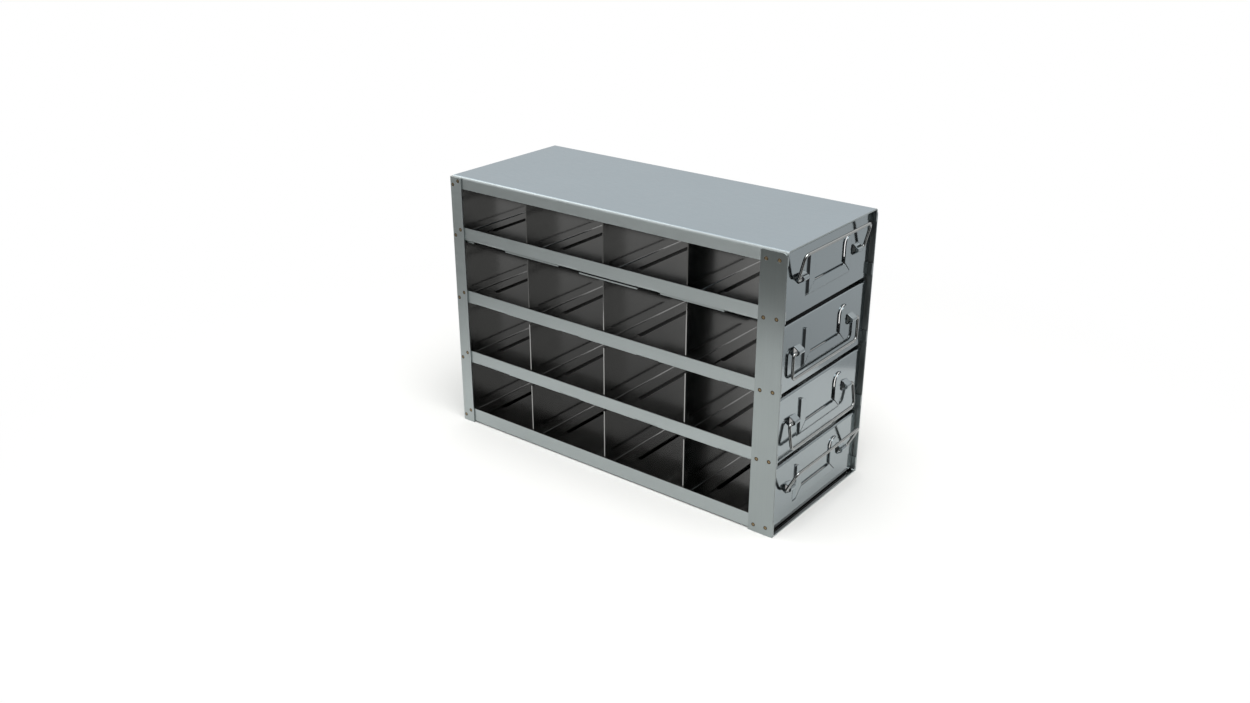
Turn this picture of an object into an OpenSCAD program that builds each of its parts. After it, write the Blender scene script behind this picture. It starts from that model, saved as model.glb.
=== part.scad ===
// Freezer drawer rack: a spot-welded sheet-steel frame, open along both long sides, with four drawers.
// Each drawer is a shallow tray with upright dividers and a front that carries a pressed card holder
// and a folding wire bail. Millimetres, +Z up, the drawers pull out along -Y.
// The origin is the middle of the rack's underside.

/* [Rack frame] */
// Overall width, across the outer faces of the front posts
rack_w = 145; // [130:1:180]
// Overall length, from the posts' front edges to the back panel's outer face
rack_l = 356; // [330:1:460]
// Thickness of the frame's sheet
sheet = 1.2; // [0.8:0.1:1.6]
// Inside radius of the frame's bends
bend_r = 1.5; // [0.8:0.1:2.5]
// Height of the lowest drawer seat above the ground
seat_lift = 3.1; // [2.8:0.1:5]
// Width of each front post
post_w = 23.5; // [16:0.5:30]
// Radius on the front top corner of each post
post_front_r = 4; // [2:0.5:8]
// Radius on the rear top corner of each post
post_rear_r = 1.5; // [0.5:0.5:4]
// How far the posts and the back panel stop below the top face
post_drop = 1.6; // [1:0.1:3]
// Width of the back panel's side flanges
back_flange = 14; // [12:0.5:24]
// Depth of the top panel's flanges
top_flange = 11.5; // [9:0.5:16]
// Diameter of a spot-weld mark
weld_d = 3.6; // [2.5:0.1:5]
// Pressed depth of a spot-weld mark
weld_depth = 0.15; // [0.1:0.05:0.3]

/* [Shelves] */
// Height of a shelf's side flanges above its underside
flange_h = 12.8; // [12:0.1:18]
// How far a shelf's floor starts behind the front edge
floor_setback = 20; // [10:1:40]
// Length of a lance along the bend
lance_l = 63; // [30:1:70]
// How far the middle of a lance lies ahead of a divider's rear face
lance_lead = 5; // [0:0.5:8]
// Length of the lance at the back end
lance_end_l = 22; // [16:1:28]
// Width of the flap bent down at a lance
flap_w = 10; // [6:0.5:14]
// Share of the room under a flap that the flap at the back end takes up
end_flap_share = 0.6; // [0.2:0.1:1]
// Share of the top shelf's flap drop that the shelves below it have
low_flap_share = 0.1; // [0.1:0.1:1]
// How far a flap's free edge stays inside the shelf's outer face
flap_inset = 2; // [0.4:0.1:2.4]
// Width of each glide bead pressed into the base
bead_w = 10; // [6:0.5:16]
// Distance from the rack's long side to the middle of a glide bead
bead_edge = 11.5; // [11.5:0.5:20]

/* [Drawers] */
// Thickness of the drawers' sheet
drawer_sheet = 1; // [0.6:0.1:1.2]
// Outside radius of the drawers' bends
drawer_bend = 1.8; // [1.4:0.1:2.4]
// How far the drawer fronts sit behind the posts' front edges
front_inset = 4; // [3:0.5:8]
// Height of a drawer front
front_h = 57.2; // [54:0.1:90]
// Open height between one drawer front and the next
front_gap = 4.5; // [3.5:0.1:10]
// Depth of the flange bent back along a front's top edge
front_flange = 8; // [5:0.5:14]
// Height of the tray's lips
lip_h = 10; // [6:0.5:12]
// Depth of the foot that fixes a divider to the floor
foot_d = 14; // [8:0.5:18]
// Length of the floor slot in front of each foot
floor_slot_l = 80; // [40:1:110]
// Width of the floor slot
floor_slot_w = 4; // [3:0.5:7]
// Play of a closed drawer under its floor
seat_gap = 0.3; // [0.2:0.1:0.6]
// Play of a drawer between a shelf's flanges
side_gap = 0.5; // [0.3:0.1:1]
// Play of a closed drawer at the back panel
back_gap = 0.5; // [0.3:0.1:2]

/* [Card holder] */
// Clear width between the holder's side strips
card_w = 49; // [40:1:54]
// Width of each strip, from its free edge to the foot of its flank
strip_w = 10.5; // [7:0.5:11]
// Height of the holder's lower edge above the bottom of the front
card_bottom = 12.6; // [12:0.1:14]
// Height of the side strips
card_h = 34; // [30:0.5:40]
// How far the strips stand proud of the front
strip_rise = 1.7; // [1.5:0.1:2]
// Run of the sloped flank that joins a strip to the front
flank_run = 2; // [1.5:0.1:3]
// Radius of the curved upper end of a side strip
strip_end_r = 8; // [3:0.5:8]
// Width of the slit between neighbouring strips
strip_slit = 1.1; // [0.5:0.1:1.4]

/* [Bails] */
// Diameter of the bail wire
wire_d = 2.5; // [2:0.1:3]
// Distance between the middles of a bail's legs
bail_span = 106; // [104:1:116]
// Length of a bail, from its pivot to the middle of its grip
bail_l = 22; // [20:0.5:23]
// Bend radius of the grip's corners, at the middle of the wire
grip_r = 4.5; // [3:0.5:7]
// Bend radius where a leg turns into its pivot, at the middle of the wire
pivot_r = 3; // [2:0.5:3]
// Height of the pivot above the bottom of the front
pivot_h = 31; // [29:0.5:32]
// How far the pivot stands before the front's outer face
pivot_out = 3; // [2.8:0.1:3.6]
// Distance from the middle of the front to the middle of each wire loop
loop_x = 43.5; // [43:0.5:45]
// Width of the lanced loop that holds the wire
loop_w = 8; // [6:0.5:8]
// Radial play of the wire in its loop
wire_play = 0.15; // [0.1:0.05:0.3]
// Angle of the loop's arms, measured from the outward direction to a line square to an arm
loop_angle = 57; // [52:1:64]
// How far each bail is swung up from hanging, from the top drawer down
bail_swing = [166, 0, 8, 153]; // [0:1:178]

/* [Hidden] */
$fn = 48;
rows = 4;
cells = 4;
// Overrun that takes a cut clean through a face
cut = 0.5;
// Clearance of a divider at the tray's bends, and of a pivot's end inside its loop
fit_gap = 0.2;
end_gap = 0.5;
// Width of the shear gap along each side of a wire loop
loop_slit = 0.4;
// Height of a flange's straight lower edge at a lance, and play over a drawer under the flaps
lance_edge = 1.1;
top_play = 0.6;

// Frame planes
row_pitch = front_h + front_gap;
rack_h = rows * row_pitch + sheet;
frame_x = rack_w / 2 - sheet;
front_y = -rack_l / 2;
back_y = rack_l / 2 - sheet;
bend_out = bend_r + sheet;
post_top = rack_h - post_drop;
shelf_base = seat_lift - sheet;
bead_l = rack_l - 2 * floor_setback;
flap_drop = min(2 * sheet, front_gap - sheet - seat_gap - top_play);

// Spot-weld places: distance from the strip's free edge, and height above the shelf's underside
weld_front = [[6.8, 5.4], [18.5, 4.4]];
weld_back = [[3.4, 4], [10, 10.3]];
// The marks on the shallower top flange sit closer together
weld_top_share = 0.65;

// Drawer planes
drawer_x = frame_x - sheet - side_gap;
front_face = front_y + front_inset;
tray_front = front_face + drawer_sheet;
tray_back = back_y - back_gap;
wall_back = tray_back - drawer_sheet;
wall_h = front_h - drawer_sheet;
foot_x = drawer_x - drawer_bend - fit_gap;
notch_h = lip_h - drawer_sheet + fit_gap;
cell_pitch = (wall_back - drawer_sheet - tray_front) / cells;
inner_bend = drawer_bend - drawer_sheet;

// Card holder lines, from the middle of the front's bottom edge
strip_in = card_w / 2;
strip_out = strip_in + strip_w;
strip_flat = strip_out - flank_run;
card_top = card_bottom + card_h;
card_inner = card_bottom + strip_w;
strip_back = drawer_sheet - strip_rise;
// How far a strip or flap runs on into the sheet around it
bite = 1;

// Wire loop radii round the pivot
wire_r = wire_d / 2;
loop_in = wire_r + wire_play;
loop_out = loop_in + drawer_sheet;
pivot_end = loop_x - loop_w / 2 + end_gap;

FRAME_NODES = ["top_panel", "base_panel", "back_panel", "left_post", "right_post"];
SHELF_NODES = [for (drawer = [1:rows - 1]) str("shelf_", drawer)];
WALLS = ["divider_front", "divider_middle", "divider_rear", "back_wall"];
PIECES = concat(["tray", "front"], WALLS, ["bail"]);
DRAWER_NODES = [for (drawer = [1:rows], piece = PIECES) str("drawer_", drawer, "_", piece)];

// Share of the room under a flap that the flap takes up: most in the middle of the rack's length
function flap_share(y) = pow(cos(180 * y / rack_l), 2);

// Undersides of a shelf and of the drawer on it; both count from the top
function shelf_z(drawer) = shelf_base + (rows - drawer) * row_pitch;
function floor_z(drawer) = seat_lift + seat_gap + (rows - drawer) * row_pitch;

// Rear face of an upright wall; wall 1 is the front divider and the last one is the back wall
function wall_y(index) = tray_front + drawer_sheet + index * cell_pitch;

// Height above the pivot of a loop arm that touches radius r, at a distance out from the front
function arm_z(r, out) = (r + (pivot_out - out) * cos(loop_angle)) / sin(loop_angle);

// Solid along Y from a drawing in X and Z
module along_y(y0, y1) {
    translate([0, y1, 0])
        rotate([90, 0, 0])
            linear_extrude(y1 - y0)
                children();
}

// Solid along X from a drawing in Y and Z
module along_x(x0, x1) {
    translate([x0, 0, 0])
        rotate([90, 0, 90])
            linear_extrude(x1 - x0)
                children();
}

// What rounding by r takes off a square corner at [u, v]; turn 0 has the sheet towards +u and +v
module corner_waste(u, v, r, turn) {
    if (r > 0)
        translate([u, v])
            rotate(turn)
                difference() {
                    translate([-cut, -cut])
                        square(r + cut);
                    translate([r, r])
                        circle(r);
                }
}

// Rectangle whose lower corners are rounded by r0 and r1
module trough_outline(u0, u1, v0, v1, r0, r1) {
    difference() {
        translate([u0, v0])
            square([u1 - u0, v1 - v0]);
        corner_waste(u0, v0, r0, 0);
        corner_waste(u1, v0, r1, 90);
    }
}

// Shallow pan of folded sheet with its corners closed; a front or back radius of 0 leaves that end open
module pan(half_w, y0, y1, depth, t, r, front_r, back_r) {
    inner_w = half_w - t;
    inner_y0 = front_r > 0 ? y0 + t : y0 - cut;
    inner_y1 = back_r > 0 ? y1 - t : y1 + cut;
    difference() {
        intersection() {
            along_y(y0, y1)
                trough_outline(-half_w, half_w, 0, depth, r, r);
            along_x(-half_w, half_w)
                trough_outline(y0, y1, 0, depth, front_r, back_r);
        }
        intersection() {
            along_y(inner_y0, inner_y1)
                trough_outline(-inner_w, inner_w, t, depth + cut, r - t, r - t);
            along_x(-inner_w, inner_w)
                trough_outline(inner_y0, inner_y1, t, depth + cut, front_r - t, back_r - t);
        }
    }
}

// Flat bar with round ends, lying along Y
module round_bar(length, width, height) {
    linear_extrude(height) {
        square([width, length - width], center = true);
        for (end = [-1, 1])
            translate([0, end * (length - width) / 2])
                circle(width / 2);
    }
}

// Weld marks pressed into one upright strip; edge is its free edge, and inward points across it
module weld_marks(side, edge, inward, places) {
    levels = concat([for (drawer = [1:rows]) [shelf_z(drawer), 1]], [[rack_h - top_flange, weld_top_share]]);
    for (level = levels, place = places)
        translate([side * (rack_w / 2 - weld_depth), edge + inward * place[0], level[0] + place[1] * level[1]])
            rotate([0, side * 90, 0])
                cylinder(d = weld_d, h = weld_depth + cut);
}

// Top: a lid folded down at both sides and the back
module top_panel() {
    color("LightSteelBlue")
        translate([0, 0, rack_h])
            mirror([0, 0, 1])
                pan(frame_x, front_y, back_y, top_flange, sheet, bend_out, 0, bend_out);
}

// Base: a channel folded up at both sides, with two glide beads pressed up under the lowest drawer
module base_panel() {
    color("Silver")
        difference() {
            union() {
                pan(frame_x, front_y, back_y, shelf_base + flange_h, sheet, bend_out, 0, 0);
                for (side = [-1, 1])
                    translate([side * (rack_w / 2 - bead_edge), 0, 0])
                        round_bar(bead_l, bead_w, seat_lift);
            }
            for (side = [-1, 1])
                translate([side * (rack_w / 2 - bead_edge), 0, -cut])
                    round_bar(bead_l - 2 * sheet, bead_w - 2 * sheet, shelf_base + cut);
        }
}

// Back: a sheet with both edges folded forward over the ends of the rails
module back_panel() {
    color("Silver")
        difference() {
            linear_extrude(post_top)
                back_section();
            for (side = [-1, 1])
                weld_marks(side, rack_l / 2, -1, weld_back);
        }
}

// Plan of the back panel, bent tightly round the frame's corners
module back_section() {
    translate([-frame_x, back_y])
        square([2 * frame_x, sheet]);
    for (side = [-1, 1]) {
        translate([side * (frame_x + sheet / 2), back_y - (back_flange - sheet) / 2])
            square([sheet, back_flange - sheet], center = true);
        intersection() {
            translate([side * frame_x, back_y])
                circle(sheet);
            translate([side * (frame_x + sheet / 2), back_y + sheet / 2])
                square(sheet, center = true);
        }
    }
}

// Front post: a flat strip on the outside of the rails
module post(side) {
    middle = side * (frame_x + sheet / 2);
    color("Silver")
        difference() {
            along_x(middle - sheet / 2, middle + sheet / 2)
                difference() {
                    translate([front_y, 0])
                        square([post_w, post_top]);
                    corner_waste(front_y, post_top, post_front_r, -90);
                    corner_waste(front_y + post_w, post_top, post_rear_r, 180);
                }
            weld_marks(side, front_y, 1, weld_front);
        }
}

// Shelf: a channel folded up at both sides and lanced along its bends, with a flap bent down at each lance
module shelf(drawer) {
    drop = flap_drop * (drawer == 1 ? 1 : low_flap_share);
    middles = [for (index = [1:cells - 1]) wall_y(index) - lance_lead];
    wall_lances = [for (y = middles) [y - lance_l / 2, lance_l, flap_share(y)]];
    lances = concat(wall_lances, [[back_y - lance_end_l, lance_end_l, end_flap_share]]);
    color("Silver")
        translate([0, 0, shelf_z(drawer)]) {
            difference() {
                pan(frame_x, front_y, back_y, flange_h, sheet, bend_out, 0, 0);
                translate([-rack_w / 2, front_y - cut, -cut])
                    cube([rack_w, floor_setback + cut, bend_out + cut]);
                for (side = [0, 1], lance = lances)
                    mirror([side, 0, 0])
                        translate([-rack_w / 2, lance[0], -cut])
                            cube([sheet + flap_w, lance[1], bend_out + cut]);
            }
            for (side = [0, 1], lance = lances)
                mirror([side, 0, 0])
                    translate([-frame_x, 0, 0])
                        along_y(lance[0], lance[0] + lance[1])
                            lance_section(drop * lance[2]);
        }
}

// Section at a lance, with the shelf's outer bottom corner at the origin: straight flange and bent flap
module lance_section(drop) {
    translate([0, lance_edge])
        square([sheet, bend_out - lance_edge + bite]);
    polygon([
        [flap_w + bite, 0],
        [flap_w + bite, sheet],
        [flap_w, sheet],
        [flap_inset, sheet - drop],
        [flap_inset, -drop],
        [flap_w, 0]
    ]);
}

// Tray: a pan with low lips all round and a slot before each foot
module tray(drawer) {
    color("LightSlateGray")
        translate([0, 0, floor_z(drawer)])
            difference() {
                pan(drawer_x, tray_front, tray_back, lip_h, drawer_sheet, drawer_bend, drawer_bend, drawer_bend);
                for (index = [1:cells])
                    translate([0, wall_y(index) - drawer_sheet - foot_d - floor_slot_w / 2, -cut])
                        rotate(90)
                            round_bar(floor_slot_l, floor_slot_w, drawer_sheet + 2 * cut);
            }
}

// Divider or back wall: an upright sheet with a foot bent forward, notched to pass over the lips
module wall(drawer, index) {
    color("LightSlateGray")
        translate([0, wall_y(index), floor_z(drawer) + drawer_sheet]) {
            along_x(-foot_x, foot_x)
                wall_section();
            translate([-drawer_x, -drawer_sheet, notch_h])
                cube([2 * drawer_x, drawer_sheet, wall_h - notch_h]);
        }
}

// Side view of a wall, with its rear bottom corner at the origin and its foot towards -Y
module wall_section() {
    depth = drawer_sheet + foot_d;
    difference() {
        translate([-depth, 0])
            square([depth, wall_h]);
        translate([-depth - drawer_sheet, drawer_sheet])
            difference() {
                square([depth, wall_h]);
                corner_waste(depth, 0, inner_bend, 90);
            }
        corner_waste(0, 0, drawer_bend, 90);
    }
}

// Drawer front, with its card holder and wire loops lanced out of the sheet
module front(drawer) {
    color("LightSteelBlue")
        translate([0, front_face, floor_z(drawer)]) {
            difference() {
                along_x(-drawer_x, drawer_x)
                    front_section();
                along_y(-cut, drawer_sheet + cut) {
                    bottom_outline(0);
                    for (side = [-1, 1]) {
                        side_outline(side, 0, 0);
                        loop_window(side);
                    }
                }
            }
            bottom_strip();
            for (side = [-1, 1]) {
                side_strip(side);
                wire_loop(side);
            }
        }
}

// Side view of a front, with its outer bottom corner at the origin and its flange at the top
module front_section() {
    difference() {
        square([front_flange, front_h]);
        translate([drawer_sheet, -drawer_sheet])
            difference() {
                square([front_flange, front_h]);
                corner_waste(0, front_h, inner_bend, -90);
            }
        corner_waste(0, front_h, drawer_bend, -90);
    }
}

// Face view of a side strip: mitred below, curved at its upper end, widened by reach past its foot
module side_outline(side, reach, slit) {
    mirror([side > 0 ? 0 : 1, 0])
        difference() {
            polygon([
                [strip_in, card_inner + slit],
                [strip_out + reach, card_bottom - reach + slit],
                [strip_out + reach, card_top],
                [strip_in, card_top]
            ]);
            corner_waste(strip_in, card_top, strip_end_r, -90);
        }
}

// Face view of the bottom strip, mitred at both ends
module bottom_outline(reach) {
    low_x = strip_out + reach;
    polygon([
        [-strip_in, card_inner],
        [strip_in, card_inner],
        [low_x, card_bottom - reach],
        [-low_x, card_bottom - reach]
    ]);
}

// Side strip: flat towards the card, with a sloped flank outside
module side_strip(side) {
    intersection() {
        along_y(-strip_rise - cut, drawer_sheet + cut)
            side_outline(side, bite, strip_slit);
        mirror([side > 0 ? 0 : 1, 0, 0])
            linear_extrude(card_top)
                polygon([
                    [strip_in, -strip_rise],
                    [strip_flat, -strip_rise],
                    [strip_out, 0],
                    [strip_out + bite, 0],
                    [strip_out + bite, drawer_sheet],
                    [strip_out, drawer_sheet],
                    [strip_flat, strip_back],
                    [strip_in, strip_back]
                ]);
    }
}

// Bottom strip: flat above, with a sloped flank below
module bottom_strip() {
    intersection() {
        along_y(-strip_rise - cut, drawer_sheet + cut)
            bottom_outline(bite);
        along_x(-strip_out - bite, strip_out + bite)
            polygon([
                [-strip_rise, card_inner],
                [-strip_rise, card_bottom + flank_run],
                [0, card_bottom],
                [0, card_bottom - bite],
                [drawer_sheet, card_bottom - bite],
                [drawer_sheet, card_bottom],
                [strip_back, card_bottom + flank_run],
                [strip_back, card_inner]
            ]);
    }
}

// Opening left in the front by a wire loop
module loop_window(side) {
    translate([side * loop_x, pivot_h])
        square([loop_w + 2 * loop_slit, 2 * arm_z(loop_in, 0)], center = true);
}

// Wire loop: a strip bowed out of the front round the pivot
module wire_loop(side) {
    along_x(side * loop_x - loop_w / 2, side * loop_x + loop_w / 2)
        difference() {
            loop_shape(loop_out, drawer_sheet / 2);
            loop_shape(loop_in, drawer_sheet);
        }
}

// Side view of the space within radius r of the pivot and between two arms that run depth into the front
module loop_shape(r, depth) {
    touch_y = -pivot_out - r * cos(loop_angle);
    touch_z = r * sin(loop_angle);
    root_z = arm_z(r, -depth);
    translate([0, pivot_h]) {
        translate([-pivot_out, 0])
            circle(r);
        polygon([[touch_y, touch_z], [depth, root_z], [depth, -root_z], [touch_y, -touch_z]]);
    }
}

// Bail: one bent wire whose in-turned ends pivot in the loops, swung up from hanging
module bail(drawer) {
    color("Gainsboro")
        translate([0, front_face - pivot_out, floor_z(drawer) + pivot_h])
            rotate([-bail_swing[drawer - 1], 0, 0]) {
                for (side = [0, 1])
                    mirror([side, 0, 0])
                        bail_leg();
                translate([grip_r - bail_span / 2, 0, -bail_l])
                    wire_along_x(bail_span - 2 * grip_r);
            }
}

// One leg with its pivot end, hanging down at the +X side of the pivot line
module bail_leg() {
    leg_x = bail_span / 2;
    translate([pivot_end, 0, 0])
        wire_along_x(leg_x - pivot_r - pivot_end);
    translate([leg_x - pivot_r, 0, -pivot_r])
        wire_bend(pivot_r, 0);
    translate([leg_x, 0, grip_r - bail_l])
        cylinder(r = wire_r, h = bail_l - grip_r - pivot_r);
    translate([leg_x - grip_r, 0, grip_r - bail_l])
        wire_bend(grip_r, -90);
}

module wire_along_x(length) {
    rotate([0, 90, 0])
        cylinder(r = wire_r, h = length);
}

// Quarter bend in the X-Z plane, from the given angle onwards
module wire_bend(r, start) {
    rotate([90, 0, 0])
        rotate(start)
            rotate_extrude(angle = 90)
                translate([r, 0])
                    circle(wire_r);
}

top_panel();
base_panel();
back_panel();
post(-1);  // left_post
post(1);  // right_post
for (drawer = [1:rows - 1])
    shelf(drawer);
for (drawer = [1:rows]) {
    tray(drawer);
    front(drawer);
    for (index = [1:cells])
        wall(drawer, index);
    bail(drawer);
}
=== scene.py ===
"""Looks of a freezer drawer rack: stainless sheet, wire and weld finishes, studio and camera."""
import math

import bmesh
import bpy
from bpy.props import FloatProperty, FloatVectorProperty, PointerProperty
from mathutils import Matrix, Vector


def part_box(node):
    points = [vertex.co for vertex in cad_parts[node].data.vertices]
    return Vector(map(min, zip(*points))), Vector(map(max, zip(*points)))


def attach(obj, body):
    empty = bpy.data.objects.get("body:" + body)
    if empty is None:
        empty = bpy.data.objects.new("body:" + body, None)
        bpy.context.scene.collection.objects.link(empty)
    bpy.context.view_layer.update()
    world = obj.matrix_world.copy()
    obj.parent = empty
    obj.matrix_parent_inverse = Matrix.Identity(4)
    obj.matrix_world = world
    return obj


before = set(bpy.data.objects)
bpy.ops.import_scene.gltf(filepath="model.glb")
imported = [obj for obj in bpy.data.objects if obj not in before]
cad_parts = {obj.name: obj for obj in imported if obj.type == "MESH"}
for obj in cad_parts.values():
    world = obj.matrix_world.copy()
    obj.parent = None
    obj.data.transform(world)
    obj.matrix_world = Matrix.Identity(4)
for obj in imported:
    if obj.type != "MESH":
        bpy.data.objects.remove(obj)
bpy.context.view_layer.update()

bl_info = {
    "name": "Freezer Drawer Rack",
    "version": (1, 0, 0),
    "blender": (4, 5, 0),
    "location": "3D View > Sidebar > Rack",
    "description": "Dresses a sheet-steel freezer rack and sets up its studio",
    "category": "Object",
}

MM = 0.001
ROWS = range(1, 5)
WALLS = ("divider_front", "divider_middle", "divider_rear", "back_wall")


def linear(hex_colour):
    """Linear RGB of an sRGB hex colour."""
    channels = [int(hex_colour[i:i + 2], 16) / 255 for i in (1, 3, 5)]
    return tuple(c / 12.92 if c <= 0.04045 else ((c + 0.055) / 1.055) ** 2.4 for c in channels)


def colour_property(name, hex_colour, description):
    """A colour that a user can change, given as sRGB hex."""
    return FloatVectorProperty(name=name, description=description, subtype="COLOR", size=3,
                               min=0, max=1, default=linear(hex_colour))


def share_property(name, value, description):
    """A setting from 0 to 1."""
    return FloatProperty(name=name, description=description, subtype="FACTOR", min=0, max=1, default=value)


def size_property(name, millimetres, description):
    """A length, given in millimetres and kept in metres."""
    return FloatProperty(name=name, description=description, unit="LENGTH", min=0, default=millimetres * MM)


class RackFinish(bpy.types.PropertyGroup):
    """Colours and gloss of the rack's steels."""
    lid_colour: colour_property("Lid", "#96A1A7", "Cool grey of the cold-rolled lid")
    rail_colour: colour_property("Rails", "#A4ABAB", "Grey of the folded rails, base and back")
    post_colour: colour_property("Posts", "#979E9E", "Grey of the brushed posts")
    front_colour: colour_property("Fronts", "#929A9D", "Grey of the bright drawer fronts")
    tray_colour: colour_property("Trays", "#9A9A99", "Grey of the trays and dividers")
    # Painted shade: the shelves' level floors are the same steel as the rails, painted dark for the shade
    # under the trays
    shelf_shade_colour: colour_property("Shelves", "#4C4C4B", "Grey of the shelves' unpolished floors")
    wire_colour: colour_property("Wire", "#9A9C9B", "Grey of the drawn bail wire")
    lid_roughness: share_property("Lid roughness", 0.42, "Dullness of the cold-rolled lid")
    rail_roughness: share_property("Rail roughness", 0.36, "Dullness of the rails")
    post_roughness: share_property("Post roughness", 0.34, "Dullness of the brushed posts")
    front_roughness: share_property("Front roughness", 0.11, "Dullness of the drawer fronts")
    tray_roughness: share_property("Tray roughness", 0.12, "Dullness of the trays and dividers")
    shelf_roughness: share_property("Shelf roughness", 0.3, "Dullness of the shelves' floors")
    wire_roughness: share_property("Wire roughness", 0.12, "Dullness of the bail wire")


class WeldSettings(bpy.types.PropertyGroup):
    """Spot-weld buttons on the posts and the back flanges."""
    radius: size_property("Radius", 1.75, "Outer radius of a weld button")
    dimple: size_property("Dimple", 0.15, "Depth of the pressed mark that a button sits in")
    ring_colour: colour_property("Ring", "#4A3A28", "Brown of the heat-tinted ring")
    nugget_colour: colour_property("Nugget", "#8C7C60", "Bright middle of a weld")


class StudioSettings(bpy.types.PropertyGroup):
    """Floor, painted reflections of the surroundings, lamps and camera."""
    floor_colour: colour_property("Floor", "#F2F2F0", "Pale paper under the rack")
    # Painted reflections: tones of glowing cards that only the steel mirrors
    table_reflection_left: colour_property("Table left", "#858583", "Table beyond the paper at the left, as mirrored")
    table_reflection_right: colour_property("Table right", "#D9DBDC", "Table beyond the paper at the right, as mirrored")
    # Painted shade: the tone of the dark cards that only the steel mirrors
    painted_dark_colour: colour_property("Cloth", "#484848", "Dark cloths and screen, as mirrored")
    room_reflection_low: colour_property("Room low", "#DCDCDC", "Lower part of the room at the right, as mirrored")
    room_reflection_high: colour_property("Room high", "#5E5E5E", "Upper part of the room at the right, as mirrored")
    lamp_power: FloatProperty(name="Lamp", description="Power of the soft overhead lamp", unit="POWER",
                              min=0, default=14)
    fill: FloatProperty(name="Fill", description="Strength of the light from all round", min=0, default=0.6)
    camera_place: FloatVectorProperty(name="Camera", description="Place of the camera", subtype="TRANSLATION",
                                      unit="LENGTH", default=(-0.80633, -0.59955, 0.53322))
    camera_aim: FloatVectorProperty(name="Aim", description="Direction that the camera looks in",
                                    subtype="DIRECTION", default=(0.72155, 0.56533, -0.39972))
    camera_roll: FloatProperty(name="Roll", description="Turn of the camera about its own axis",
                               subtype="ANGLE", default=math.radians(-0.035))
    lens: FloatProperty(name="Lens", description="Focal length on a sensor 36 mm wide", unit="CAMERA",
                        min=1, default=34.307)


def add(tree, kind, sockets=None, **settings):
    """Adds a node with its settings, and sets its input sockets or links them to other nodes' outputs."""
    node = tree.nodes.new("ShaderNode" + kind)
    for name, value in settings.items():
        setattr(node, name, value)
    for key, value in (sockets or {}).items():
        if isinstance(value, bpy.types.NodeSocket):
            tree.links.new(value, node.inputs[key])
        else:
            node.inputs[key].default_value = value
    return node


def new_material(name):
    """An empty node material and its tree."""
    material = bpy.data.materials.new(name)
    material.use_nodes = True
    material.node_tree.nodes.clear()
    return material, material.node_tree


def shade(colour, factor):
    """An RGBA colour made lighter or darker by a factor."""
    return (*[min(1, channel * factor) for channel in colour], 1)


# Share of the slow clouds in a steel's tone, and the noise values between which the tone runs
CLOUD_SHARE = 0.45
TONE_RANGE = (0.3, 0.7)
# The noise values between which the gloss changes, and the shares of the roughness that it runs between
WEAR_RANGE = (0.25, 0.75)
WEAR_SHARES = (0.85, 1.15)
# The upright part of a face's normal, from where the face starts to count as level to where it does fully
LEVEL_RANGE = (0.6, 0.95)
RELIEF_STRENGTH = 0.25
EDGE_SAMPLES = 6


def level_share(tree):
    """A factor that is 1 on level faces and 0 on upright ones, with a soft change round the bends."""
    facing = add(tree, "SeparateXYZ", {"Vector": add(tree, "NewGeometry").outputs["Normal"]})
    upness = add(tree, "Math", {0: facing.outputs["Z"]}, operation="ABSOLUTE")
    share = add(tree, "MapRange", {"Value": upness.outputs["Value"], "From Min": LEVEL_RANGE[0],
                                   "From Max": LEVEL_RANGE[1]}, interpolation_type="SMOOTHSTEP")
    return share.outputs["Result"]


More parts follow.
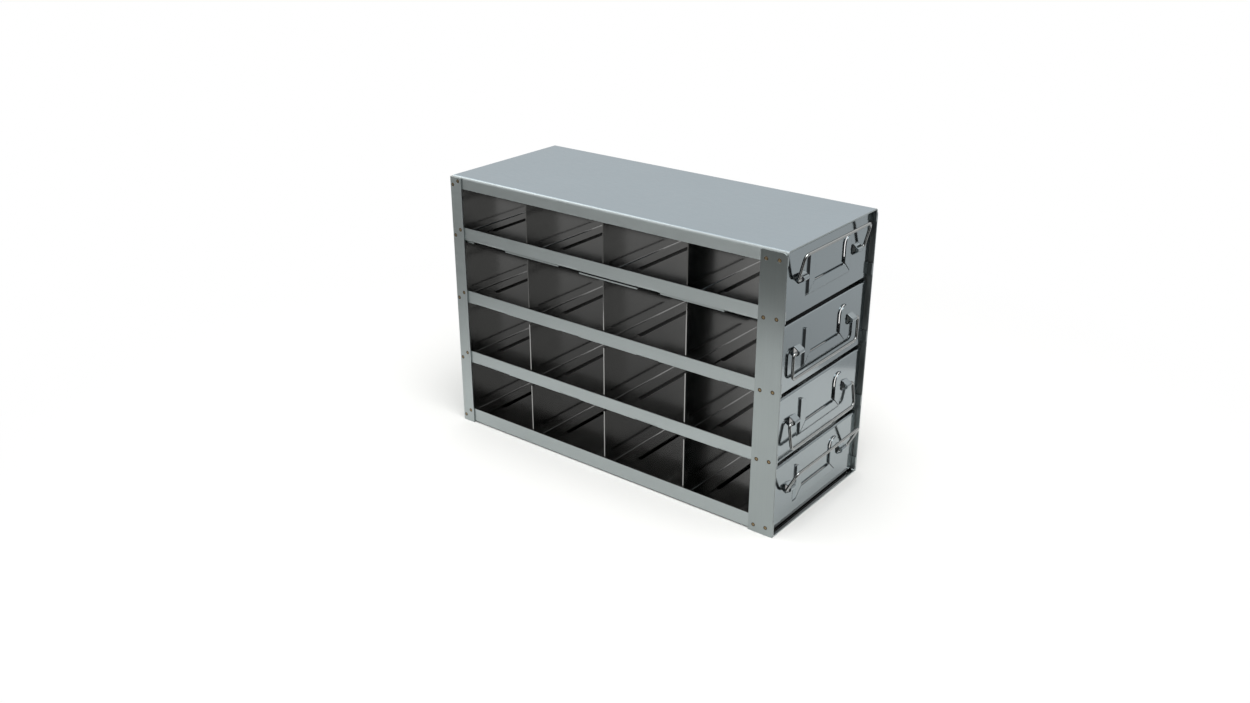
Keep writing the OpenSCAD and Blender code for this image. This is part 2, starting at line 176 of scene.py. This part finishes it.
def rolled_steel(name, colour, roughness, grain_mm, cloud_mm, grain_depth_mm, spread, edge_mm=0.3,
                 anisotropic=0.0, turn=0.0, level=None):
    """Stainless steel whose grain is a noise stretched along the sheet.

    grain_mm is the size of one streak along X, Y and Z, cloud_mm the size of the slow changes of tone,
    spread the share by which grain and clouds lighten or darken the colour, edge_mm the radius on cut edges.
    level, where given, is the colour and roughness of the level faces, which stay unbrushed.
    """
    material, tree = new_material(name)
    place = add(tree, "TexCoord")
    streaks = add(tree, "Mapping", {"Vector": place.outputs["Object"],
                                    "Scale": [1 / (size * MM) for size in grain_mm]})
    grain = add(tree, "TexNoise", {"Vector": streaks.outputs["Vector"], "Scale": 1.0, "Detail": 3.0,
                                   "Roughness": 0.6})
    clouds = add(tree, "TexNoise", {"Vector": place.outputs["Object"], "Scale": 1 / (cloud_mm * MM),
                                    "Detail": 2.0})
    both = add(tree, "Mix", {0: CLOUD_SHARE, 2: grain.outputs["Fac"], 3: clouds.outputs["Fac"]})
    tone = add(tree, "ValToRGB", {"Fac": both.outputs[0]})
    tone.color_ramp.elements[0].position = TONE_RANGE[0]
    tone.color_ramp.elements[1].position = TONE_RANGE[1]
    tone.color_ramp.elements[0].color = shade((1, 1, 1), (1 - spread) / (1 + spread))
    tone.color_ramp.elements[1].color = (1, 1, 1, 1)
    tint = shade(colour, 1 + spread)
    gloss = roughness
    smear = anisotropic
    if level:
        flat = level_share(tree)
        level_colour, level_roughness = level
        tints = add(tree, "Mix", {0: flat, 6: tint, 7: shade(level_colour, 1 + spread)}, data_type="RGBA")
        tint = tints.outputs[2]
        gloss = add(tree, "Mix", {0: flat, 2: roughness, 3: level_roughness}).outputs[0]
        fading = add(tree, "Math", {0: -anisotropic, 1: flat, 2: anisotropic}, operation="MULTIPLY_ADD")
        smear = fading.outputs["Value"]
    toned = add(tree, "Mix", {0: 1.0, 6: tint, 7: tone.outputs["Color"]}, data_type="RGBA",
                blend_type="MULTIPLY")
    wear = add(tree, "MapRange", {"Value": grain.outputs["Fac"],
                                  "From Min": WEAR_RANGE[0], "From Max": WEAR_RANGE[1],
                                  "To Min": WEAR_SHARES[0], "To Max": WEAR_SHARES[1]})
    dullness = add(tree, "Math", {0: gloss, 1: wear.outputs["Result"]}, operation="MULTIPLY")
    edges = add(tree, "Bevel", {"Radius": edge_mm * MM}, samples=EDGE_SAMPLES)
    relief = add(tree, "Bump", {"Height": grain.outputs["Fac"], "Strength": RELIEF_STRENGTH,
                                "Distance": grain_depth_mm * MM, "Normal": edges.outputs["Normal"]})
    around = add(tree, "Tangent", direction_type="RADIAL", axis="Z")
    surface = add(tree, "BsdfPrincipled", {"Base Color": toned.outputs[2], "Metallic": 1.0,
                                           "Roughness": dullness.outputs["Value"], "Anisotropic": smear,
                                           "Anisotropic Rotation": turn, "Normal": relief.outputs["Normal"],
                                           "Tangent": around.outputs["Tangent"]})
    add(tree, "OutputMaterial", {"Surface": surface.outputs["BSDF"]})
    return material


# Rolling and brushing lines are 0.05 to 0.2 mm apart on the real sheets. That is too fine to show in the
# render, so the grain sizes below are drawn coarser.


def cold_rolled_lid_steel(finish):
    """Stainless lid sheet as it leaves the rolling mill: an even, cool, satin grey with brushed flanges."""
    return rolled_steel("stainless_cold_rolled_lid", finish.rail_colour, finish.rail_roughness,
                        grain_mm=(1.5, 9, 1.5), cloud_mm=70, grain_depth_mm=0.01, spread=0.03,
                        anisotropic=0.8, turn=0.25, level=(finish.lid_colour, finish.lid_roughness))


def brushed_rail_steel(finish, name, level):
    """Stainless sheet brushed along the rails, which smears light up and down, and plain on level faces."""
    return rolled_steel(name, finish.rail_colour, finish.rail_roughness,
                        grain_mm=(0.9, 30, 0.9), cloud_mm=60, grain_depth_mm=0.015, spread=0.04,
                        anisotropic=0.8, turn=0.25, level=level)


def brushed_post_steel(finish):
    """Stainless strip brushed along the posts: fine upright lines and a sharp change of tone with height."""
    return rolled_steel("stainless_brushed_post", finish.post_colour, finish.post_roughness,
                        grain_mm=(0.9, 0.9, 40), cloud_mm=50, grain_depth_mm=0.015, spread=0.05,
                        anisotropic=0.8)


def bright_front_steel(finish):
    """Bright-rolled stainless front: a soft mirror that doubles the bail in front of it."""
    return rolled_steel("stainless_bright_front", finish.front_colour, finish.front_roughness,
                        grain_mm=(12, 1.2, 1.2), cloud_mm=45, grain_depth_mm=0.004, spread=0.02)


def dull_tray_steel(finish):
    """Cold-rolled stainless of trays and dividers: a dull mirror that darkens into the cells."""
    return rolled_steel("stainless_cold_rolled_tray", finish.tray_colour, finish.tray_roughness,
                        grain_mm=(60, 8, 8), cloud_mm=60, grain_depth_mm=0.002, spread=0.03, edge_mm=0.05)


def drawn_wire_steel(finish):
    """Drawn stainless wire: bright, with faint draw lines along its length."""
    return rolled_steel("stainless_drawn_wire", finish.wire_colour, finish.wire_roughness,
                        grain_mm=(10, 0.8, 0.8), cloud_mm=20, grain_depth_mm=0.006, spread=0.04)


# Darkest and lightest share of a weld's colours
RING_TONES = (0.6, 1.3)
NUGGET_TONES = (0.8, 1.1)


def weld_ring_steel(settings):
    """Heat-tinted steel round a weld: brown oxide with blotches of a darker tone."""
    material, tree = new_material("stainless_heat_tinted_ring")
    place = add(tree, "TexCoord")
    blotch_mm = 0.8
    blotches = add(tree, "TexNoise", {"Vector": place.outputs["Object"], "Scale": 1 / (blotch_mm * MM)})
    tone = add(tree, "ValToRGB", {"Fac": blotches.outputs["Fac"]})
    tone.color_ramp.elements[0].color = shade(settings.ring_colour, RING_TONES[0])
    tone.color_ramp.elements[1].color = shade(settings.ring_colour, RING_TONES[1])
    surface = add(tree, "BsdfPrincipled", {"Base Color": tone.outputs["Color"], "Metallic": 0.7,
                                           "Roughness": 0.45})
    add(tree, "OutputMaterial", {"Surface": surface.outputs["BSDF"]})
    return material


def weld_nugget_steel(settings):
    """Electrode-pressed middle of a weld: bright, slightly pitted steel."""
    material, tree = new_material("stainless_pressed_nugget")
    place = add(tree, "TexCoord")
    pit_mm = 0.3
    pits = add(tree, "TexNoise", {"Vector": place.outputs["Object"], "Scale": 1 / (pit_mm * MM)})
    tone = add(tree, "ValToRGB", {"Fac": pits.outputs["Fac"]})
    tone.color_ramp.elements[0].color = shade(settings.nugget_colour, NUGGET_TONES[0])
    tone.color_ramp.elements[1].color = shade(settings.nugget_colour, NUGGET_TONES[1])
    surface = add(tree, "BsdfPrincipled", {"Base Color": tone.outputs["Color"], "Metallic": 1.0,
                                           "Roughness": 0.3})
    add(tree, "OutputMaterial", {"Surface": surface.outputs["BSDF"]})
    return material


def dress(nodes, material):
    """Gives CAD nodes one material."""
    for name in nodes:
        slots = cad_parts[name].data.materials
        slots.clear()
        slots.append(material)


def mesh_object(name, bm, materials):
    """A new object in the scene from a finished bmesh."""
    mesh = bpy.data.meshes.new(name)
    bm.to_mesh(mesh)
    bm.free()
    for material in materials:
        mesh.materials.append(material)
    obj = bpy.data.objects.new(name, mesh)
    bpy.context.scene.collection.objects.link(obj)
    return obj


class RACK_OT_panels(bpy.types.Operator):
    """Finish the lid, the base and the back panel"""
    bl_idname = "rack.panels"
    bl_label = "Panels"

    def execute(self, context):
        finish = context.scene.rack_finish
        dress(["top_panel"], cold_rolled_lid_steel(finish))
        bright = (finish.tray_colour, finish.tray_roughness)
        dress(["base_panel", "back_panel"], brushed_rail_steel(finish, "stainless_brushed_panel", bright))
        return {"FINISHED"}


class RACK_OT_shelves(bpy.types.Operator):
    """Finish the lanced shelves, whose flanges are the rails, with painted shade on their level floors"""
    bl_idname = "rack.shelves"
    bl_label = "Shelves"

    def execute(self, context):
        finish = context.scene.rack_finish
        # Painted shade: the dark colour on the shelves' level floors stands for the shade under the trays;
        # their duller roughness is the steel's own
        dull = (finish.shelf_shade_colour, finish.shelf_roughness)
        steel = brushed_rail_steel(finish, "stainless_brushed_rail", dull)
        dress([f"shelf_{row}" for row in ROWS[:-1]], steel)
        return {"FINISHED"}


class RACK_OT_posts(bpy.types.Operator):
    """Finish the two front posts"""
    bl_idname = "rack.posts"
    bl_label = "Posts"

    def execute(self, context):
        dress(["left_post", "right_post"], brushed_post_steel(context.scene.rack_finish))
        return {"FINISHED"}


class RACK_OT_trays(bpy.types.Operator):
    """Finish the trays, the dividers and the back walls"""
    bl_idname = "rack.trays"
    bl_label = "Trays"

    def execute(self, context):
        names = [f"drawer_{row}_{piece}" for row in ROWS for piece in ("tray",) + WALLS]
        dress(names, dull_tray_steel(context.scene.rack_finish))
        return {"FINISHED"}


class RACK_OT_fronts(bpy.types.Operator):
    """Finish the drawer fronts with their card holders and wire loops"""
    bl_idname = "rack.fronts"
    bl_label = "Fronts"

    def execute(self, context):
        dress([f"drawer_{row}_front" for row in ROWS], bright_front_steel(context.scene.rack_finish))
        return {"FINISHED"}


class RACK_OT_bails(bpy.types.Operator):
    """Finish the wire bails"""
    bl_idname = "rack.bails"
    bl_label = "Bails"

    def execute(self, context):
        dress([f"drawer_{row}_bail" for row in ROWS], drawn_wire_steel(context.scene.rack_finish))
        return {"FINISHED"}


# Weld places in millimetres: distance from the strip's free edge, and height above a shelf's underside
POST_WELDS = ((6.8, 5.4), (18.5, 4.4))
BACK_WELDS = ((3.4, 4.0), (10.0, 10.3))
# Height of the shelves' flanges, height of the lowest line of welds, and how much closer the lid's marks sit
FLANGE_HEIGHT = 12.8
LOWEST_LINE = 1.9
LID_SHARE = 0.65
# A weld button's section: share of its radius, and share of the dimple's depth below the strip's face
WELD_SECTION = ((1.0, 0.95), (0.94, 0.1), (0.82, 0.0), (0.68, 0.55), (0.56, 0.85), (0.48, 0.3), (0.34, 0.05))
WELD_SIDES = 24
NUGGET_RING = 4


def weld_levels():
    """Height of each line of welds, and the share by which its marks are drawn together."""
    levels = [(LOWEST_LINE * MM, 1.0)]
    levels += [(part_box(f"shelf_{row}")[1].z - FLANGE_HEIGHT * MM, 1.0) for row in ROWS[:-1]]
    levels.append((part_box("top_panel")[0].z, LID_SHARE))
    return levels


def add_weld(bm, centre, side, settings):
    """Adds one weld button to a bmesh, facing out along X on the given side."""
    rings = []
    for share, depth in WELD_SECTION:
        ring = []
        for step in range(WELD_SIDES):
            angle = side * math.tau * step / WELD_SIDES
            reach = share * settings.radius
            along = reach * math.cos(angle)
            up = reach * math.sin(angle)
            offset = Vector((-side * depth * settings.dimple, along, up))
            ring.append(bm.verts.new(centre + offset))
        rings.append(ring)
    for index, (outer, inner) in enumerate(zip(rings, rings[1:])):
        for step in range(WELD_SIDES):
            after = (step + 1) % WELD_SIDES
            face = bm.faces.new((outer[step], outer[after], inner[after], inner[step]))
            face.smooth = True
            face.material_index = int(index >= NUGGET_RING)
    cap = bm.faces.new(rings[-1])
    cap.material_index = 1


class RACK_OT_welds(bpy.types.Operator):
    """Make the heat-tinted spot-weld buttons on the posts and the back panel's flanges"""
    bl_idname = "rack.welds"
    bl_label = "Welds"

    def execute(self, context):
        settings = context.scene.rack_welds
        materials = [weld_ring_steel(settings), weld_nugget_steel(settings)]
        low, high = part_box("back_panel")
        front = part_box("left_post")[0].y
        strips = {"post_welds": (front, 1, POST_WELDS), "back_welds": (high.y, -1, BACK_WELDS)}
        for name, (edge, inward, places) in strips.items():
            for side, face, prefix in ((-1, low.x, "left"), (1, high.x, "right")):
                bm = bmesh.new()
                for level, share in weld_levels():
                    for run, rise in places:
                        centre = Vector((face, edge + inward * run * MM, level + share * rise * MM))
                        add_weld(bm, centre, side, settings)
                welds = mesh_object(f"{prefix}_{name}", bm, materials)
                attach(welds, "rack_frame")
        return {"FINISHED"}


def seen_or_mirrored(tree):
    """A factor that is 1 for what the camera sees, straight or through a reflection or glass."""
    path = add(tree, "LightPath")
    both = add(tree, "Math", {0: path.outputs["Is Camera Ray"], 1: path.outputs["Is Glossy Ray"]},
               operation="MAXIMUM")
    any_of = add(tree, "Math", {0: both.outputs["Value"], 1: path.outputs["Is Transmission Ray"]},
                 operation="MAXIMUM")
    return any_of.outputs["Value"]


# Distances in metres from the rack's middle: where the floor's shadow starts to fade, and where it is gone
FADE_START = 0.2
FADE_END = 0.65
FLOOR_REACH = 9.0
# The paper that the rack stands on, as the metal reflects it: middle and radius
PAPER_MIDDLE = (-0.08, -0.05)
PAPER_RADIUS = 0.42
# The table, a painted reflection: radius, heights of its top and of the painted shade cards on it, and the
# places between which its tone changes
TABLE_RADIUS = 4.0
TABLE_LIFT = 0.5 * MM
SHADE_CARD_LIFT = 1.0 * MM
TABLE_BLEND = (-0.5, 0.5)
# Painted shade: an upright dark card on the camera's side, seen only in reflections: radius, height, and the
# compass angles that it spans
UPRIGHT_CARD_RADIUS = 3.0
DARK_CARD_HEIGHT = 1.6
DARK_CARD_SPAN = (175, 295)
# The dim side of the room, to the right of the dark card, as a painted reflection: height, the compass angles
# that it spans, and the heights between which it darkens
ROOM_HEIGHT = 2.6
ROOM_SPAN = (295, 327)
ROOM_BLEND = (1.05, 1.75)
# Painted shade: a dark card on the table, seen only in reflections, between the rack's near corner and the
# camera
SHADE_CARD_CORNER = (-0.0725, -0.178)
SHADE_CARD_START = 0.02
SHADE_CARD_SPAN = (200, 290)
# Painted shade: a dark card on the table, seen only in reflections, beyond the rack's far side
FAR_MIDDLE = (0.0725, 0)
FAR_START = 0.15
FAR_SPAN = (-25, 65)
ARC_STEPS = 96


def floor_paper(studio):
    """Matt white paper: keeps the soft shadow by the rack and goes to plain white further off."""
    material, tree = new_material("matt_white_paper")
    place = add(tree, "TexCoord")
    flat = add(tree, "VectorMath", {0: place.outputs["Object"], 1: (1, 1, 0)}, operation="MULTIPLY")
    distance = add(tree, "VectorMath", {0: flat.outputs["Vector"]}, operation="LENGTH")
    fade = add(tree, "MapRange", {"Value": distance.outputs["Value"], "From Min": FADE_START,
                                  "From Max": FADE_END}, interpolation_type="SMOOTHSTEP")
    factor = add(tree, "Math", {0: fade.outputs["Result"], 1: seen_or_mirrored(tree)}, operation="MULTIPLY")
    paper = add(tree, "BsdfDiffuse", {"Color": (*studio.floor_colour, 1)})
    white = add(tree, "Emission", {"Color": (1, 1, 1, 1), "Strength": 1.0})
    mixed = add(tree, "MixShader", {0: factor.outputs["Value"], 1: paper.outputs["BSDF"],
                                    2: white.outputs["Emission"]})
    add(tree, "OutputMaterial", {"Surface": mixed.outputs["Shader"]})
    return material


def graded_card(name, axis, span, first, second):
    """A glowing card for the steel to mirror, a painted reflection whose tone changes along an axis between
    two places.
    """
    material, tree = new_material(name)
    place = add(tree, "TexCoord")
    parts = add(tree, "SeparateXYZ", {"Vector": place.outputs["Object"]})
    along = add(tree, "MapRange", {"Value": parts.outputs[axis], "From Min": span[0], "From Max": span[1]})
    tone = add(tree, "Mix", {"Factor": along.outputs["Result"], 6: (*first, 1), 7: (*second, 1)},
               data_type="RGBA")
    surface = add(tree, "Emission", {"Color": tone.outputs[2], "Strength": 1.0})
    add(tree, "OutputMaterial", {"Surface": surface.outputs["Emission"]})
    return material


def plain_card(name, colour):
    """A glowing card of one even tone that only the steel mirrors, a painted reflection."""
    material, tree = new_material(name)
    surface = add(tree, "Emission", {"Color": (*colour, 1), "Strength": 1.0})
    add(tree, "OutputMaterial", {"Surface": surface.outputs["Emission"]})
    return material


def arc(middle, radius, height, start=0, end=360):
    """Points along an arc, from one compass angle to another, counted from +X towards +Y."""
    angles = [math.radians(start + (end - start) * step / ARC_STEPS) for step in range(ARC_STEPS + 1)]
    return [(middle[0] + radius * math.cos(a), middle[1] + radius * math.sin(a), height) for a in angles]


def sheet_between(name, first, second, material):
    """A sheet that spans two rows of points."""
    bm = bmesh.new()
    rows = [[bm.verts.new(point) for point in row] for row in (first, second)]
    for step in range(len(first) - 1):
        bm.faces.new((rows[0][step], rows[1][step], rows[1][step + 1], rows[0][step + 1]))
    return mesh_object(name, bm, [material])


def ground_card(name, middle, start, height, material, span=(0, 360)):
    """A ring on the table, or a sector of one, from a radius out to the table's edge."""
    return sheet_between(name, arc(middle, start, height, *span), arc(middle, TABLE_RADIUS, height, *span),
                         material)


def upright_card(name, height, span, material):
    """A stretch of an upright card round the table, a painted reflection seen only by the steel."""
    return sheet_between(name, arc((0, 0), UPRIGHT_CARD_RADIUS, 0, *span), arc((0, 0), UPRIGHT_CARD_RADIUS, height, *span),
                         material)


def mirrored_only(obj):
    """Leaves an object visible in reflections only."""
    obj.visible_camera = False
    obj.visible_diffuse = False
    obj.visible_transmission = False
    obj.visible_shadow = False


def light_world(studio):
    """White surroundings for the camera and for reflections, and a softer fill for matt surfaces."""
    world = bpy.data.worlds.new("white_studio")
    world.use_nodes = True
    tree = world.node_tree
    tree.nodes.clear()
    fill = add(tree, "Background", {"Color": (1, 1, 1, 1), "Strength": studio.fill})
    white = add(tree, "Background", {"Color": (1, 1, 1, 1), "Strength": 1.0})
    mixed = add(tree, "MixShader", {0: seen_or_mirrored(tree), 1: fill.outputs["Background"],
                                    2: white.outputs["Background"]})
    add(tree, "OutputWorld", {"Surface": mixed.outputs["Shader"]})
    bpy.context.scene.world = world


SENSOR_WIDTH = 36.0
# Soft lamps: name, place and side length in metres, and share of the lamp power
LAMPS = (("top_lamp", (-0.25, -0.35, 1.35), 0.9, 1.0), ("rear_lamp", (-0.3, 1.0, 1.4), 0.8, 0.35))


def hang_lamps(studio):
    """A large soft lamp above the rack, a little to the front, and a smaller one behind it for the edges."""
    for name, place, side, share in LAMPS:
        data = bpy.data.lights.new(name, "AREA")
        data.shape = "SQUARE"
        data.size = side
        data.energy = studio.lamp_power * share
        lamp = bpy.data.objects.new(name, data)
        lamp.location = place
        lamp.rotation_euler = (-Vector(place)).to_track_quat("-Z", "Y").to_euler()
        lamp.visible_camera = False
        bpy.context.scene.collection.objects.link(lamp)


def place_camera(studio):
    """The camera at the photograph's viewpoint."""
    data = bpy.data.cameras.new("camera")
    data.sensor_width = SENSOR_WIDTH
    data.lens = studio.lens
    camera = bpy.data.objects.new("camera", data)
    facing = Vector(studio.camera_aim).to_track_quat("-Z", "Y").to_matrix()
    turned = facing @ Matrix.Rotation(studio.camera_roll, 3, "Z")
    camera.matrix_world = Matrix.Translation(studio.camera_place) @ turned.to_4x4()
    bpy.context.scene.collection.objects.link(camera)
    bpy.context.scene.camera = camera


class RACK_OT_studio(bpy.types.Operator):
    """Set up the floor, the cards of painted reflection and painted shade, the lamps and the camera"""
    bl_idname = "rack.studio"
    bl_label = "Studio"

    def execute(self, context):
        studio = context.scene.rack_studio
        near, far = ([(x, y, 0) for x in (-FLOOR_REACH, FLOOR_REACH)] for y in (-FLOOR_REACH, FLOOR_REACH))
        floor = sheet_between("floor", near, far, floor_paper(studio))
        # Painted reflections and painted shade: glowing cards, hidden from the camera, from light and from
        # shadow, that only the steel mirrors
        top = graded_card("painted_table_reflection", "X", TABLE_BLEND, studio.table_reflection_left, studio.table_reflection_right)
        dark = plain_card("painted_dark_reflection", studio.painted_dark_colour)
        wall = graded_card("painted_room_reflection", "Z", ROOM_BLEND, studio.room_reflection_low, studio.room_reflection_high)
        table = ground_card("table", PAPER_MIDDLE, PAPER_RADIUS, TABLE_LIFT, top)
        # Painted shade: dark glowing cards that only the steel mirrors
        near_shade_card = ground_card("near_shade_card", SHADE_CARD_CORNER, SHADE_CARD_START, SHADE_CARD_LIFT, dark, SHADE_CARD_SPAN)
        dark_reflection_card = upright_card("dark_reflection_card", DARK_CARD_HEIGHT, DARK_CARD_SPAN, dark)
        far_shade_card = ground_card("far_shade_card", FAR_MIDDLE, FAR_START, SHADE_CARD_LIFT, dark, FAR_SPAN)
        room = upright_card("room", ROOM_HEIGHT, ROOM_SPAN, wall)
        cards = (table, near_shade_card, far_shade_card, dark_reflection_card, room)
        for card in cards:
            mirrored_only(card)
        light_world(studio)
        hang_lamps(studio)
        place_camera(studio)
        context.scene.view_settings.view_transform = "Standard"
        return {"FINISHED"}


PIECE_OPERATORS = (RACK_OT_panels, RACK_OT_shelves, RACK_OT_posts, RACK_OT_trays, RACK_OT_fronts,
                   RACK_OT_bails, RACK_OT_welds, RACK_OT_studio)


class RACK_PT_sidebar(bpy.types.Panel):
    """Lists the rack's operators"""
    bl_idname = "RACK_PT_sidebar"
    bl_label = "Freezer Drawer Rack"
    bl_space_type = "VIEW_3D"
    bl_region_type = "UI"
    bl_category = "Rack"

    def draw(self, context):
        for operator in PIECE_OPERATORS:
            self.layout.operator(operator.bl_idname)


SETTINGS = {"rack_finish": RackFinish, "rack_welds": WeldSettings, "rack_studio": StudioSettings}
CLASSES = (*SETTINGS.values(), *PIECE_OPERATORS, RACK_PT_sidebar)


def register():
    for cls in CLASSES:
        bpy.utils.register_class(cls)
    for name, group in SETTINGS.items():
        setattr(bpy.types.Scene, name, PointerProperty(type=group))


def unregister():
    for name in SETTINGS:
        delattr(bpy.types.Scene, name)
    for cls in reversed(CLASSES):
        bpy.utils.unregister_class(cls)


def main():
    register()
    bpy.ops.rack.panels()
    bpy.ops.rack.shelves()
    bpy.ops.rack.posts()
    bpy.ops.rack.trays()
    bpy.ops.rack.fronts()
    bpy.ops.rack.bails()
    bpy.ops.rack.welds()
    bpy.ops.rack.studio()


if __name__ == "__main__":
    main()
